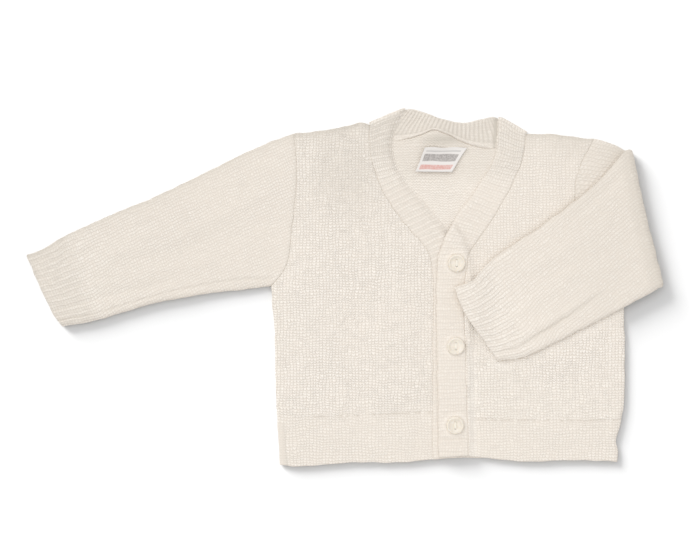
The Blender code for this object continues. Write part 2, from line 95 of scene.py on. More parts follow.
# Stitch pitches: wales and courses. NO_LINE is far from any row of transfer stitches.
WALE = 2.3
COURSE = 1.9
NO_LINE = 99

# Mesh spacing, rounding of a free edge, a sewn edge and a folded side, and the share of the wall's
# thickness that is left at sewn and free edges.
STEP = 1.1
BACK_STEP = 2
FREE_RADIUS = 0.9
SEWN_RADIUS = 1.3
SIDE_RADIUS = 2.6
SEWN_KEEP = 0.5
FREE_KEEP = 0.05

# Outlines of the pieces as they lie: x, y. Sides run up from the hem, armholes up from the underarm,
# shoulders and hems from -X to +X as far as the band, and sleeve edges from armhole to cuff.
RIGHT_SIDE = [(-46, -124.6), (-47.7, -96), (-49.3, -60), (-49.6, -35), (-51.2, -14), (-52.3, 0.8)]
RIGHT_ARMHOLE = [(-52.3, 0.8), (-43, 12.5), (-37.5, 42.5), (-34.5, 82), (-36, 107.8)]
RIGHT_SHOULDER = [(-36, 107.8), (-15, 110.2), (3.5, 113.8), (9, 115.4)]
RIGHT_HEM = [(-46, -124.6), (-34, -125.4), (-12, -123.8), (5, -122.5), (36.5, -122.7)]
LEFT_SIDE = [
    (190.2, -121.9), (190.8, -115.5), (189.7, -107.5), (190.8, -102), (193.3, -92.5), (195.1, -80),
    (195.6, -60), (195.4, -34), (195, -16), (194, -2),
]
LEFT_ARMHOLE = [(194, -2), (180, 11), (164, 44), (160.5, 68), (165, 87), (174, 104)]
LEFT_SHOULDER = [(142, 107.5), (150, 106.9), (162, 105.2), (174, 104)]
LEFT_HEM = [(102, -119.8), (128.5, -122), (152, -121.1), (170, -121.3), (190.2, -121.9)]
BACK_HEM = [*RIGHT_HEM, (68, -119.5), *LEFT_HEM]

RIGHT_SLEEVE_TOP = [
    (-46, 104.6), (-61.6, 98.4), (-85.5, 86.7), (-128, 66.1), (-177.9, 44.8), (-200.9, 33.8),
    (-208.2, 29), (-215, 25.7),
]
RIGHT_SLEEVE_UNDER = [(-77, -2.3), (-95, -4), (-110, -6.6), (-127, -9.6), (-157, -17.8), (-173, -22.7)]
RIGHT_CUFF = [(-223.8, 22.8), (-220.1, 14.6), (-213.3, -1), (-208.2, -12), (-203.6, -20.5), (-198.3, -27.6)]

LEFT_SLEEVE_TOP = [(184, 101.6), (190.5, 98.8)]
LEFT_SLEEVE_UNDER = [(207, -1)]
LEFT_FOLD = [(195.9, 96.1), (206.5, 47.1), (218.6, -0.3)]
FOLDED_TOP = [(195.9, 96.1), (176.5, 74.5), (136, 42.5), (101, 18.5), (87, 4.5), (75.5, 0)]
FOLDED_UNDER = [(218.6, -0.3), (210.3, -5.4), (196, -13.1), (150.5, -36.5), (122.5, -49), (106.5, -51.5)]
LEFT_CUFF = [(75.5, 0), (82.5, -17), (95, -35), (106.5, -51.5)]

# The band as it lies: x, y of its seam edge and x, y of its free edge.
RIGHT_BAND = [
    (61, -120.3, 80, -119), (61, -37, 80, -37), (61, 9, 80, 13.5), (59, 22, 77, 29), (40, 46.5, 58.5, 55.5),
    (24.5, 70.5, 40, 77.5), (17.5, 93, 33, 95.5), (16.5, 103, 34, 108), (17, 113.9, 41.9, 124.4),
]
LEFT_BAND = [
    (126.2, 107.5, 106.8, 118.5), (123.5, 89, 104.4, 93), (111, 61.5, 91, 69), (95.5, 37, 74.5, 45),
    (86, 22, 64.5, 21.5), (84, 8, 63.8, 8), (84, -54, 64, -54), (86, -117.6, 65, -118.9),
]
NECK_BAND = [
    RIGHT_BAND[-1], (28, 103.5, 46.3, 124.9), (43.5, 104, 54.2, 123), (63, 110, 67.2, 118.4),
    (81.5, 102, 82, 115.4), (99.5, 97.5, 97, 118.4), (118.5, 101, 103.8, 119.6), LEFT_BAND[0],
]
# Rows of points to a rib and to a turn, fractions across the band, the ridge inside the neck
# (fraction across, rise), and two grooves at the left band's end.
RIB_ROWS = 8
BAND_TURN_ROWS = 10
BAND_ACROSS = np.concatenate([
    [0, 0.012, 0.03, 0.055, 0.085, 0.12, 0.16, 0.21], np.linspace(0.27, 0.93, 10), [0.958, 0.978, 0.99, 1],
])
BAND_RIDGE = [(0, 0.3), (0.05, 1.1), (0.09, 1.4), (0.14, 1), (0.2, 0.15), (0.26, 0), (1, 0)]
BAND_FINISHING_Y = (-105.7, -115.6)

# The back neck: where it shows between the fronts, and its rise towards its seam.
NECK_SHOWS = (37, 103)
NECK_SHOWS_EASE = 7
NECK_HUMP_X = 63
NECK_HUMP_HALF = 26
NECK_HUMP_HEIGHT = 4
NECK_HUMP_REACH = 20
NECK_SEAM_Y = 108

BUTTON_PLACES = [(77.5, 17), (77, -41), (76.5, -96.4)]
LABEL_CORNERS = [(48.6, 81), (74.2, 80.6), (85, 98.2), (55.7, 98.2)]
# Half of a button's section: share of its radius, height.
BUTTON_PROFILE = [
    (0, 1.75), (0.3, 1.75), (0.55, 1.85), (0.68, 2.2), (0.8, BUTTON_HEIGHT),
    (0.92, 2.35), (1, 1.4), (0.94, 0.5), (0.75, 0), (0, 0),
]

# Lines that the wales of the sleeves run along.
RIGHT_SLEEVE_GRAIN = [(-36, 109), (-128, 67), (-222.8, 22)]
FOLDED_SLEEVE_GRAIN = [(199, 97), (136, 43.5), (72, -7)]

# The right side's plain strip, and rows of transfer stitches above the hem: x, y. The right
# front's starts at DOTS_START_X.
SIDE_STRIP = 4.4
SIDE_STRIP_TOP = -93.5
DOTS_START_X = -24
RIGHT_HEM_LINE = [(-46, -90.6), (-10, -90.2), (25, -88.6), (61, -87.2)]
LEFT_HEM_LINE = [(84, -91.5), (110, -92.7), (150, -93), (192, -92.6)]
BACK_HEM_LINE = [(-46, -90.6), (60, -88.5), (192, -92.6)]

# Soft creases: ends x, y, x, y, half width, height (a trough is below 0).
RIGHT_FRONT_CREASES = [
    (7.2, 113, -15.2, 69, 7, -0.55), (-2, 108, -26, 72, 8, 0.5), (-13, 55.7, 19.1, 41.7, 7, -0.4),
    (-14, 66, 20, 52, 8, 0.4), (-50, -20, -38, -100, 6, -0.35), (46, 20, 54, -60, 8, 0.35),
    (52, -70, 30, -118, 9, -0.3), (-20, -30, 10, -80, 14, 0.35),
]
LEFT_FRONT_CREASES = [
    (140, 100, 146, 62, 8, 0.45), (128, 96, 122, 60, 7, -0.35), (158, 98, 162, 66, 5, -0.45),
    (100, -60, 110, -112, 9, 0.4), (150, -50, 168, -112, 12, 0.45), (186, -30, 182, -100, 6, -0.4),
    (128, -62, 136, -118, 9, -0.35),
]
# Sleeve creases: fraction across from the top edge at either end, fractions of the length, half
# width, height. The seam: fraction of the length, fraction across.
RIGHT_SLEEVE_CREASES = [
    (0.3, 0.42, 0.05, 0.5, 0.07, 0.5), (0.55, 0.5, 0.1, 0.75, 0.08, -0.45),
    (0.72, 0.62, 0.3, 0.8, 0.07, 0.45), (0.8, 0.74, 0.45, 1, 0.05, -0.5),
    (0.18, 0.3, 0.45, 0.95, 0.08, -0.35), (0.86, 0.6, 0, 0.22, 0.06, -0.55),
]
UNDERARM_SEAM = [(0, 0.93), (0.17, 0.89), (0.44, 0.893), (0.72, 0.91), (1, 0.9)]
RIGHT_SLEEVE_REAR_CREASES = [(0.35, 0.45, 0.1, 0.6, 0.08, -0.4), (0.65, 0.55, 0.4, 0.95, 0.08, -0.4)]
NARROW_CREASE = 0.035
FOLDED_SLEEVE_CREASES = [
    (0.832, 0.88, 0.5, 1, 0.016, -0.5), (0.8, 0.885, 0.33, 0.85, 0.03, -0.4),
    (0.77, 0.8, 0.3, 0.95, 0.036, 0.35), (0.6, 0.4, 0.05, 0.6, 0.1, -0.4),
    (0.35, 0.25, 0.1, 0.7, 0.09, 0.45), (0.12, 0.1, 0, 0.35, 0.06, -0.6),
    (0.5, 0.62, 0.35, 0.9, 0.09, 0.35),
]

# Colours of the yarn: its crests, also the colour of painted light, its gaps, where painted shade
# falls between the stitches, warm and deep patches, mean, transfer holes and painted shade.
YARN = (0.973, 0.921, 0.853)
YARN_GAP_SHADE = (0.625, 0.562, 0.489)
YARN_WARM = (0.892, 0.819, 0.728)
YARN_DEEP = (0.806, 0.728, 0.646)
YARN_MEAN = (0.827, 0.766, 0.692)
DOT = (0.56, 0.48, 0.40)
YARN_SHADE = (0.61, 0.56, 0.491)
KNIT_RELIEF = 0.42

# Stripes of the label: ends up its height, soft edge, cover (none where it is worn), colour.
LABEL_WHITES = ((0.825, 0.79, 0.755), (0.70, 0.665, 0.635))
LABEL_STRIPES = [
    (0.42, 0.74, 0.04, None, (0.33, 0.30, 0.285)),
    (0.80, 0.88, 0.02, 0.5, (0.42, 0.40, 0.39)),
    (0.08, 0.32, 0.04, None, (0.70, 0.34, 0.295)),
]
LABEL_RELIEF = 0.08

PEARL = ((0.765, 0.695, 0.59), (0.815, 0.75, 0.655))
PEARL_LIGHT = (0.90, 0.845, 0.76)
COTTON = ((0.84, 0.78, 0.68), (0.94, 0.90, 0.81))
FLOOR_GREYS = ((0.70, 0.70, 0.70), (0.71, 0.71, 0.71))

# The lights: elevation, direction they come from (0 is -Y, 90 is +X), width and strength.
KEY_LIGHT = (58, 225, 60, 0.80)
FLOOR_LIGHT = (19.5, 225, 31, 5.8)
FILL_LIGHT = (80, 225, 100, 0.62)
AROUND_LIGHT = 0.70

# The camera, in metres: its height, and the centre, level and width of its view.
CAMERA_HEIGHT = 2
VIEW_CENTRE = (0.0030, 0.00525)
VIEW_LEVEL = 0.004
VIEW_WIDTH = 0.490


# Curves and surfaces.

def smooth(points, steps=16):
    """Points of a smooth line through the given ones, in any number of dimensions."""
    points = np.array(points, float)
    spans = np.linalg.norm(np.diff(points, axis=0), axis=1)
    slopes = np.diff(points, axis=0) / spans[:, None]
    inner = slopes[:-1] * spans[1:, None] + slopes[1:] * spans[:-1, None]
    inner /= (spans[1:] + spans[:-1])[:, None]
    tangents = np.vstack([slopes[:1], inner, slopes[-1:]])
    t = np.linspace(0, 1, steps, endpoint=False)[:, None]
    line = [
        (2 * t**3 - 3 * t**2 + 1) * start + (3 * t**2 - 2 * t**3) * end
        + (t**3 - 2 * t**2 + t) * span * leave + (t**3 - t**2) * span * arrive
        for start, end, leave, arrive, span in zip(points, points[1:], tangents, tangents[1:], spans)
    ]
    return np.vstack([*line, points[-1:]])


def lengths(line):
    """Distance of each point of a line from its start."""
    return np.concatenate([[0], np.cumsum(np.linalg.norm(np.diff(line, axis=0), axis=1))])


def sampled(line, fractions):
    """Points at fractions of the length of a line."""
    reach = lengths(line)
    return np.column_stack([np.interp(fractions * reach[-1], reach, axis) for axis in line.T])


def joined(*lines):
    """Lines end to end, each sharing its first point with the end of the one before."""
    return np.vstack([lines[0]] + [line[1:] for line in lines[1:]])


def patch(left, right, bottom, top):
    """Flat grid between edges that meet at the corners: rows bottom to top, columns left to right."""
    v = (lengths(left) / lengths(left)[-1])[:, None, None]
    u = (lengths(bottom) / lengths(bottom)[-1])[None, :, None]
    across = (1 - u) * left[:, None] + u * right[:, None]
    upward = (1 - v) * bottom[None] + v * top[None]
    corners = (1 - v) * ((1 - u) * bottom[0] + u * bottom[-1]) + v * ((1 - u) * top[0] + u * top[-1])
    return across + upward - corners


def spanned(left, right, bottom, top, rows, columns):
    """Flat grid between four edges at fractions of their lengths."""
    return patch(sampled(left, rows), sampled(right, rows), sampled(bottom, columns), sampled(top, columns))


def ladder(length, step, first=0, last=0):
    """Fractions of a length in even steps, closer within the rounding at either end."""
    close = np.array([0, 0.03, 0.12, 0.28, 0.52, 1])
    low = first * close if first else np.array([0])
    high = length - last * close[::-1] if last else np.array([length])
    count = max(2, round((high[0] - low[-1]) / step))
    return np.concatenate([low, np.linspace(low[-1], high[0], count + 1)[1:-1], high]) / length


def ease(value, start=0, width=1):
    """Smooth step from 0 to 1 over a width."""
    value = np.clip((value - start) / width, 0, 1)
    return value * value * (3 - 2 * value)


def fade(value, start, width):
    """Smooth step from 1 to 0 over a width."""
    return 1 - ease(value, start, width)


def bell(value, width):
    """Bell curve: 1 at 0, and about a third at a width."""
    return np.exp(-((value / width) ** 2))


def spot(grid, x, y, half_width, half_height):
    """Soft round spot about a point."""
    return bell(grid[..., 0] - x, half_width) * bell(grid[..., 1] - y, half_height)


def rim(distance, radius):
    """Quarter round: 0 at an edge, 1 from its radius on."""
    return np.sqrt(1 - (1 - np.clip(distance / radius, 0, 1)) ** 2)


def ripple(points, length, seed):
    """Soft uneven waves from -1 to 1, about a length apart."""
    rng = np.random.default_rng(seed)
    total = np.zeros(points.shape[:-1])
    for _ in range(6):
        angle, phase = rng.uniform(0, 2 * math.pi), rng.uniform(0, 2 * math.pi)
        stretch = rng.uniform(0.7, 1.5)
        along = points[..., 0] * math.cos(angle) + points[..., 1] * math.sin(angle)
        total += np.sin(along * 2 * math.pi / (length * stretch) + phase)
    return total / 3.5


def wandering(points):
    """Points moved a little sideways, as knitted edges wander. Layers move together."""
    aside = [0.28 * ripple(points, 11, seed) for seed in (41, 43)]
    return points + np.column_stack([*aside, np.zeros(len(points))])


def creased(grid, creases):
    """Height of soft creases at points."""
    height = np.zeros(grid.shape[:2])
    for x0, y0, x1, y1, half_width, deep in creases:
        run = math.hypot(x1 - x0, y1 - y0)
        ux, uy = (x1 - x0) / run, (y1 - y0) / run
        x, y = grid[..., 0] - x0, grid[..., 1] - y0
        along = x * ux + y * uy
        across = x * -uy + y * ux + 0.1 * run * np.sin(math.pi * along / run)
        ends = ease(along / (0.35 * run) + 0.3) * ease((run - along) / (0.35 * run) + 0.3)
        height += deep * ends * np.exp(-2 * (across / half_width) ** 2)
    return height


def from_line(grid, table):
    """Distance from a smooth line, drawn out straight at its ends, and distance along it."""
    line = smooth(table)
    start = line[0] + (line[0] - line[2]) * 20
    end = line[-1] + (line[-1] - line[-3]) * 20
    line = np.vstack([start, line, end])
    reach = lengths(line) - np.linalg.norm(line[1] - line[0])
    best = np.full(grid.shape[:2], np.inf)
    along = np.zeros(grid.shape[:2])
    for a, b, at in zip(line, line[1:], reach):
        run = np.linalg.norm(b - a)
        t = np.clip(((grid - a) @ (b - a)) / run**2, 0, 1)
        gap = np.linalg.norm(grid - (a + t[..., None] * (b - a)), axis=2)
        nearer = gap < best
        best = np.where(nearer, gap, best)
        along = np.where(nearer, at + t * run, along)
    return best, along


def rib_profile(count):
    """Rounded ribs, with the crest at each whole number, from 0 in the furrow to 1."""
    return (0.5 + 0.5 * np.cos(2 * math.pi * count)) ** 0.7


# Heights.

def placket_lift(x, y):
    """Rise of the wearer's left layers over the right band, eased off past its free edge."""
    free_edge = smooth(RIGHT_BAND)[:, 2:]
    beyond = x - np.interp(y, free_edge[:, 1], free_edge[:, 0])
    return PLACKET_LIFT * fade(beyond, PLACKET_STEP_START, PLACKET_STEP)


def neck_hump(x, distance):
    """Rise of the back neck at a distance from its seam."""
    shape = ease(1 - np.abs(x - NECK_HUMP_X) / NECK_HUMP_HALF)
    return NECK_HUMP_HEIGHT * shape * ease(1 - distance / NECK_HUMP_REACH)


# Meshes.

def linked(name, data):
    """A new object in the scene."""
    obj = bpy.data.objects.new(name, data)
    bpy.context.scene.collection.objects.link(obj)
    return obj


def solid(name, points, faces):
    """An object from points in millimetres, its faces turned outwards."""
    mesh = bpy.data.meshes.new(name)
    mesh.from_pydata((points * MM).tolist(), [], faces)
    bm = bmesh.new()
    bm.from_mesh(mesh)
    bmesh.ops.recalc_face_normals(bm, faces=bm.faces)
    bm.to_mesh(mesh)
    bm.free()
    return linked(name, mesh)


def raised(grid, height):
    """A flat grid given heights."""
    return np.dstack([grid, np.broadcast_to(height, grid.shape[:2])])


def folded_over(row, side, angles, high, low):
    """Rows of a layer as it turns over to a side between two levels, and their normals."""
    run = row[-1] - row[0]
    outward = side * np.array([-run[1], run[0], 0]) / np.hypot(run[0], run[1])
    axis = raised(row[None, :, :2], (high + low) / 2)[0]
    normals = [outward * math.sin(angle) + UP * math.cos(angle) for angle in angles]
    return [axis + (high - low) / 2 * normal for normal in normals], normals


def strip(first, second):
    """Faces between lines of corner numbers."""
    corners = [first[..., :-1], first[..., 1:], second[..., 1:], second[..., :-1]]
    return np.stack(corners, axis=-1).reshape(-1, 4)


def wall(name, upper, under, knit, materials, nodes, around=False, **marks):
    """A smooth closed wall between two grids of points, standing for its nodes.

    Where its rows run around, it is a tube with open ends. The knit map and the marks are given for
    the upper grid, or a tube's front. The upper face has the first material, the under face the last.
    """
    rows, columns = upper.shape[:2]
    count = rows * columns
    number = np.arange(count).reshape(rows, columns)
    edges = [number[0], number[-1], number[:, 0], number[:, -1]]
    shown = (rows, columns)
    if around:
        number = np.hstack([number, number[:, :1]])
        edges = [number[0], number[-1]]
        shown = (rows, columns // 2 + 1)
    face = strip(number[:-1], number[1:])
    faces = np.vstack([face, face + count, *(strip(edge, edge + count) for edge in edges)])
    slots = np.zeros(len(faces), np.int32)
    slots[len(face):2 * len(face)] = len(materials) - 1

    def spread(values):
        """Values over both faces of the wall, and from a tube's front on to its rear."""
        values = np.broadcast_to(values, (*shown, *np.shape(values)[2:]))
        if around:
            values = np.concatenate([values, values[:, -2:0:-1]], axis=1)
        return np.tile(values.reshape(count, -1), (2, 1)).astype(np.float32)

    points = np.vstack([upper.reshape(-1, 3), under.reshape(-1, 3)])
    obj = solid(name, wandering(points), faces.tolist())
    mesh = obj.data
    for material in materials:
        mesh.materials.append(material)
    mesh.polygons.foreach_set("material_index", slots)
    corners = np.empty(len(mesh.loops), np.int32)
    mesh.loops.foreach_get("vertex_index", corners)
    layer = mesh.uv_layers.new(name="knit")
    layer.data.foreach_set("uv", spread(knit)[corners].ravel())
    for mark, values in marks.items():
        attribute = mesh.attributes.new(mark, "FLOAT", "POINT")
        attribute.data.foreach_set("value", spread(values).ravel())
    mesh.shade_smooth()
    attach(obj, "root")
    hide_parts(*nodes)
    return obj


# Panels.

RIGHT_EDGE = joined(smooth(RIGHT_SIDE), smooth(RIGHT_ARMHOLE))
LEFT_EDGE = joined(smooth(LEFT_SIDE), smooth(LEFT_ARMHOLE))


def edge_distances(grid):
    """Distance of each point of a grid from its left, right, bottom and top edges."""
    edges = (grid[:, :1], grid[:, -1:], grid[:1], grid[-1:])
    return [np.linalg.norm(grid - edge, axis=2) for edge in edges]


def closing(upper, under, distance, radius, level, keep):
    """Brings a wall's faces towards a level at an edge, where they keep a share of their distance."""
    high = keep + (1 - keep) * rim(distance, radius)
    low = keep + (1 - keep) * rim(distance, np.minimum(radius, FREE_RADIUS))
    return level + (upper - level) * high, level + (under - level) * low


def line_offset(grid, table):
    """Height of points above a line across the panel, in courses."""
    line = smooth(table)
    return (grid[..., 1] - np.interp(grid[..., 0], line[:, 0], line[:, 1])) / COURSE


def draped(grid, most, creases, limit=None):
    """Rise of a front off the layer below: a soft loft and creases, easing off at its edges."""
    edge = np.minimum.reduce(edge_distances(grid))
    loft = most * ease(edge / 22) * (0.75 + 0.25 * ripple(grid, 70, 5))
    return np.clip(loft + ease(edge / 9) * creased(grid, creases), -0.2, limit)


def front(name, grid, floor, side, hem_line, drape, materials, nodes, side_right=False, shaded=0, calm=0):
    """A front panel: closed side and shoulder, sewn armhole and band, and a rounded hem.

    side is 1 in the rows of the side seam and 0 in those of the armhole.
    """
    left, right, bottom, top = edge_distances(grid)
    sewn, folded = (left, right) if side_right else (right, left)
    upper = floor + WALL + drape
    under = floor + drape
    middle = floor + WALL / 2
    at_side = side[:, None]
    radius = SEWN_RADIUS + (SIDE_RADIUS - SEWN_RADIUS) * at_side
    level = middle + (SIDE_SEAM_Z - middle) * at_side
    for edge in (
        (folded, radius, level, SEWN_KEEP * (1 - at_side)), (sewn, SEWN_RADIUS, middle, SEWN_KEEP),
        (top, SIDE_RADIUS, SIDE_SEAM_Z, 0), (bottom, FREE_RADIUS, middle, FREE_KEEP),
    ):
        upper, under = closing(upper, under, *edge)
    line = line_offset(grid, hem_line)
    depth = 0.9 - 0.2 * ease(0.5 - line) - calm
    line = np.where(grid[..., 0] < DOTS_START_X, NO_LINE, line)
    # Painted shade along the sewn and folded edges and down from the shoulder, with what the caller adds.
    shade = 0.1 * fade(sewn, 0, 1.8) + 0.25 * fade(folded, 0, 2.2) * (1 - at_side)
    shade = shade + shaded + 0.8 * fade(top, 0.8, 2.8) + 0.4 * fade(top, 0, 14)
    upper, under, knit = raised(grid, upper), raised(grid, under), grid / (WALE, COURSE)
    return wall(name, upper, under, knit, materials, nodes, line=line, shade=shade, depth=depth, rows=1)


def right_front(materials):
    left, right = RIGHT_EDGE, smooth(RIGHT_BAND)[:, :2]
    bottom = smooth([*RIGHT_HEM, right[0]])
    top = smooth([*RIGHT_SHOULDER, right[-1]])
    rows = ladder(lengths(left)[-1], STEP, FREE_RADIUS, SIDE_RADIUS)
    columns = ladder(lengths(bottom)[-1], STEP, SIDE_RADIUS, SEWN_RADIUS)
    grid = spanned(left, right, bottom, top, rows, columns)
    side = fade(grid[:, 0, 1], -2, 8)
    to_side = edge_distances(grid)[0]
    # Painted shade on a line at the edge of the plain side strip and over the strip. A darker patch over the
    # upper chest is partly painted shade and partly the grey of a tag showing through the knit.
    low = ease(SIDE_STRIP_TOP - grid[..., 1], 0, 3)
    strip_line = bell(to_side - SIDE_STRIP, 0.6) * low
    flat_strip = fade(to_side, SIDE_STRIP - 1, 1) * low
    return front(
        "right_front_cloth", grid, FRONT_FLOOR, side, RIGHT_HEM_LINE, draped(grid, 1.2, RIGHT_FRONT_CREASES),
        materials, ["right_front"], calm=0.3 * flat_strip,
        shaded=strip_line + 0.2 * flat_strip + 0.62 * spot(grid, 2, 84, 32, 36),
    )


def left_front(materials):
    left, right = smooth(LEFT_BAND[::-1])[:, :2], LEFT_EDGE
    bottom = smooth([left[0], *LEFT_HEM])
    top = smooth([left[-1], *LEFT_SHOULDER])
    rows = ladder(lengths(right)[-1], STEP, FREE_RADIUS, SIDE_RADIUS)
    columns = ladder(lengths(bottom)[-1], STEP, SEWN_RADIUS, SIDE_RADIUS)
    grid = spanned(left, right, bottom, top, rows, columns)
    side = fade(grid[:, -1, 1], -6, 8)
    x, y = grid[..., 0], grid[..., 1]
    edges = (FOLDED_TOP, LEFT_CUFF, FOLDED_UNDER)
    to_top, to_cuff, to_under = (from_line(grid, edge)[0] for edge in edges)
    # Painted light pales the yarn where contact shade falls beside the folded sleeve's edges and cuff and
    # along the placket step.
    painted_light = np.max([
        0.8 * bell(to_top, 5) * fade(x, 92, 12),
        0.7 * bell(x - 88.5, 3.5) * fade(y, 10, 15),
        1.2 * bell(to_cuff, 5) * ease(y, -62, 10),
        0.8 * bell(to_under, 4.5) * ease(x, 98, 8),
    ], axis=0)
    # Painted shade beside the folded sleeve's top edge and over the left shoulder.
    shaded = 0.35 * bell(to_top, 2.8) * ease(x, 95, 40) + 0.4 * spot(grid, 157, 98, 20, 10)
    return front(
        "left_front_cloth", grid, FRONT_FLOOR + placket_lift(x, y), side, LEFT_HEM_LINE,
        draped(grid, 0.9, LEFT_FRONT_CREASES, 1), materials, ["left_front"], side_right=True,
        shaded=shaded - painted_light, calm=0.25 * ease(y, -20, 40),
    )


def back_panel(materials):
    neck = smooth(NECK_BAND)[:, :2]
    top = joined(smooth([*RIGHT_SHOULDER, neck[0]]), neck, smooth([neck[-1], *LEFT_SHOULDER]))
    rows = ladder(lengths(RIGHT_EDGE)[-1], BACK_STEP, FREE_RADIUS, SIDE_RADIUS)
    columns = ladder(lengths(top)[-1], BACK_STEP, SIDE_RADIUS, SIDE_RADIUS)
    grid = spanned(RIGHT_EDGE, LEFT_EDGE, smooth(BACK_HEM), top, rows, columns)
    to_left, to_right, to_bottom, to_top = edge_distances(grid)
    under = neck_hump(grid[..., 0], to_top)
    upper, middle = under + WALL, under + WALL / 2
    seam_level = SIDE_SEAM_Z - 0.1
    for distance, edge, underarm in ((to_left, grid[:, :1, 1], -2), (to_right, grid[:, -1:, 1], -6)):
        at_side = fade(edge, underarm, 8)
        radius = SEWN_RADIUS + (SIDE_RADIUS - SEWN_RADIUS) * at_side
        level = middle + (seam_level - middle) * at_side
        under, upper = closing(under, upper, distance, radius, level, SEWN_KEEP * (1 - at_side))
    start, end = neck[0, 0], neck[-1, 0]
    limits = [start - 3, start + 2, end - 2, end + 3]
    at_neck = np.interp(sampled(top, columns)[:, 0], limits, [0, 1, 1, 0])[None]
    level = middle + (seam_level - middle) * (1 - at_neck)
    under, upper = closing(under, upper, to_top, SIDE_RADIUS, level, SEWN_KEEP * at_neck)
    upper, under = closing(upper, under, to_bottom, FREE_RADIUS, middle, FREE_KEEP)
    # Painted shade in the hollow under the back neck's ridge and over the upper back, between the fronts.
    shade = 1.4 * spot(grid, 69, 103.5, 13, 3.2) + 0.45 * ease(grid[..., 1], 70, 14)
    upper, under, knit = raised(grid, upper), raised(grid, under), grid / (WALE, COURSE)
    line = line_offset(grid, BACK_HEM_LINE)
    return wall(
        "back_cloth", upper, under, knit, materials, ["back_panel"], line=line, shade=shade, depth=0.6, rows=1
    )


# Sleeves.

def sleeve_creases(creases, across, at):
    """Height of a sleeve's creases at fractions of its width and, down a column, of its length."""
    height = 0
    for start_place, end_place, start, end, half_width, deep in creases:
        place = start_place + (end_place - start_place) * np.clip((at - start) / (end - start), 0, 1)
        ends = ease((at - start) / 0.12 + 0.3) * ease((end - at) / 0.12 + 0.3)
        height = height + deep * ends * np.exp(-2 * ((across - place) / half_width) ** 2)
    return height


def sleeve_rings(middle, normals, heights, fronts, rears, along):
    """Outer and inner rings of a flattened sleeve with its relief, its ends rounded."""
    outer, inner = [], []
    for row, normal, height, front, rear, at in zip(middle, normals, heights, fronts, rears, along):
        reach = lengths(row)
        width = reach[-1]
        shape = rim(np.minimum(reach, width - reach), SLEEVE_EDGE_RADIUS)[:, None]
        front = row + normal * (shape * height / 2 + front[:, None])
        rear = row - normal * (shape * height / 2 + rear[:, None])
        inset = WALL + reach / width * (width - 2 * WALL)
        core = np.column_stack([np.interp(inset, reach, axis) for axis in row.T])
        room = normal * (SLEEVE_HOLLOW / 2 + shape * (height / 2 - WALL - SLEEVE_HOLLOW / 2))
        outside = np.vstack([front, rear[-2:0:-1]])
        inside = np.vstack([core + room, (core - room)[-2:0:-1]])
        centre = (outside + inside) / 2
        share = SEWN_KEEP + (1 - SEWN_KEEP) * rim(at, SEWN_RADIUS)
        share = share * (FREE_KEEP + (1 - FREE_KEEP) * rim(along[-1] - at, FREE_RADIUS))
        outer.append(centre + (outside - centre) * share)
        inner.append(centre + (inside - centre) * share)
    return np.array(outer), np.array(inner)


def sleeve_grid(start, end, top_edge, under_edge, stations):
    """Rows of points across a sleeve at fractions of its length, its edges drawn from end to end."""
    top = sampled(smooth([start[0], *top_edge, end[0]]), stations)
    under = sampled(smooth([start[-1], *under_edge, end[-1]]), stations)
    return patch(top, under, start, end)


def cuff(across, past, blend):
    """How far rows are in a cuff, its ribs' height outside and inside, and its furrows."""
    in_cuff = ease(past / blend + 0.5)
    ribs = rib_profile(across * CUFF_RIBS)
    relief = CUFF_RIB_RISE * in_cuff * ribs
    return in_cuff, relief, np.minimum(relief - CUFF_RIB_RISE * in_cuff, 0), in_cuff * (1 - ribs)


def sleeve_wales(grid, grain, width, across, to_cuff):
    """Wales that run into the cuff's ribs, and distance along the sleeve, of each point."""
    from_top, along = from_line(grid, grain)
    wales = from_top * 2 * CUFF_RIBS / width
    return wales + (across * 2 * CUFF_RIBS - wales) * to_cuff + 0.5, along


def widths(grid):
    return np.linalg.norm(grid[:, -1] - grid[:, 0], axis=1)[:, None]


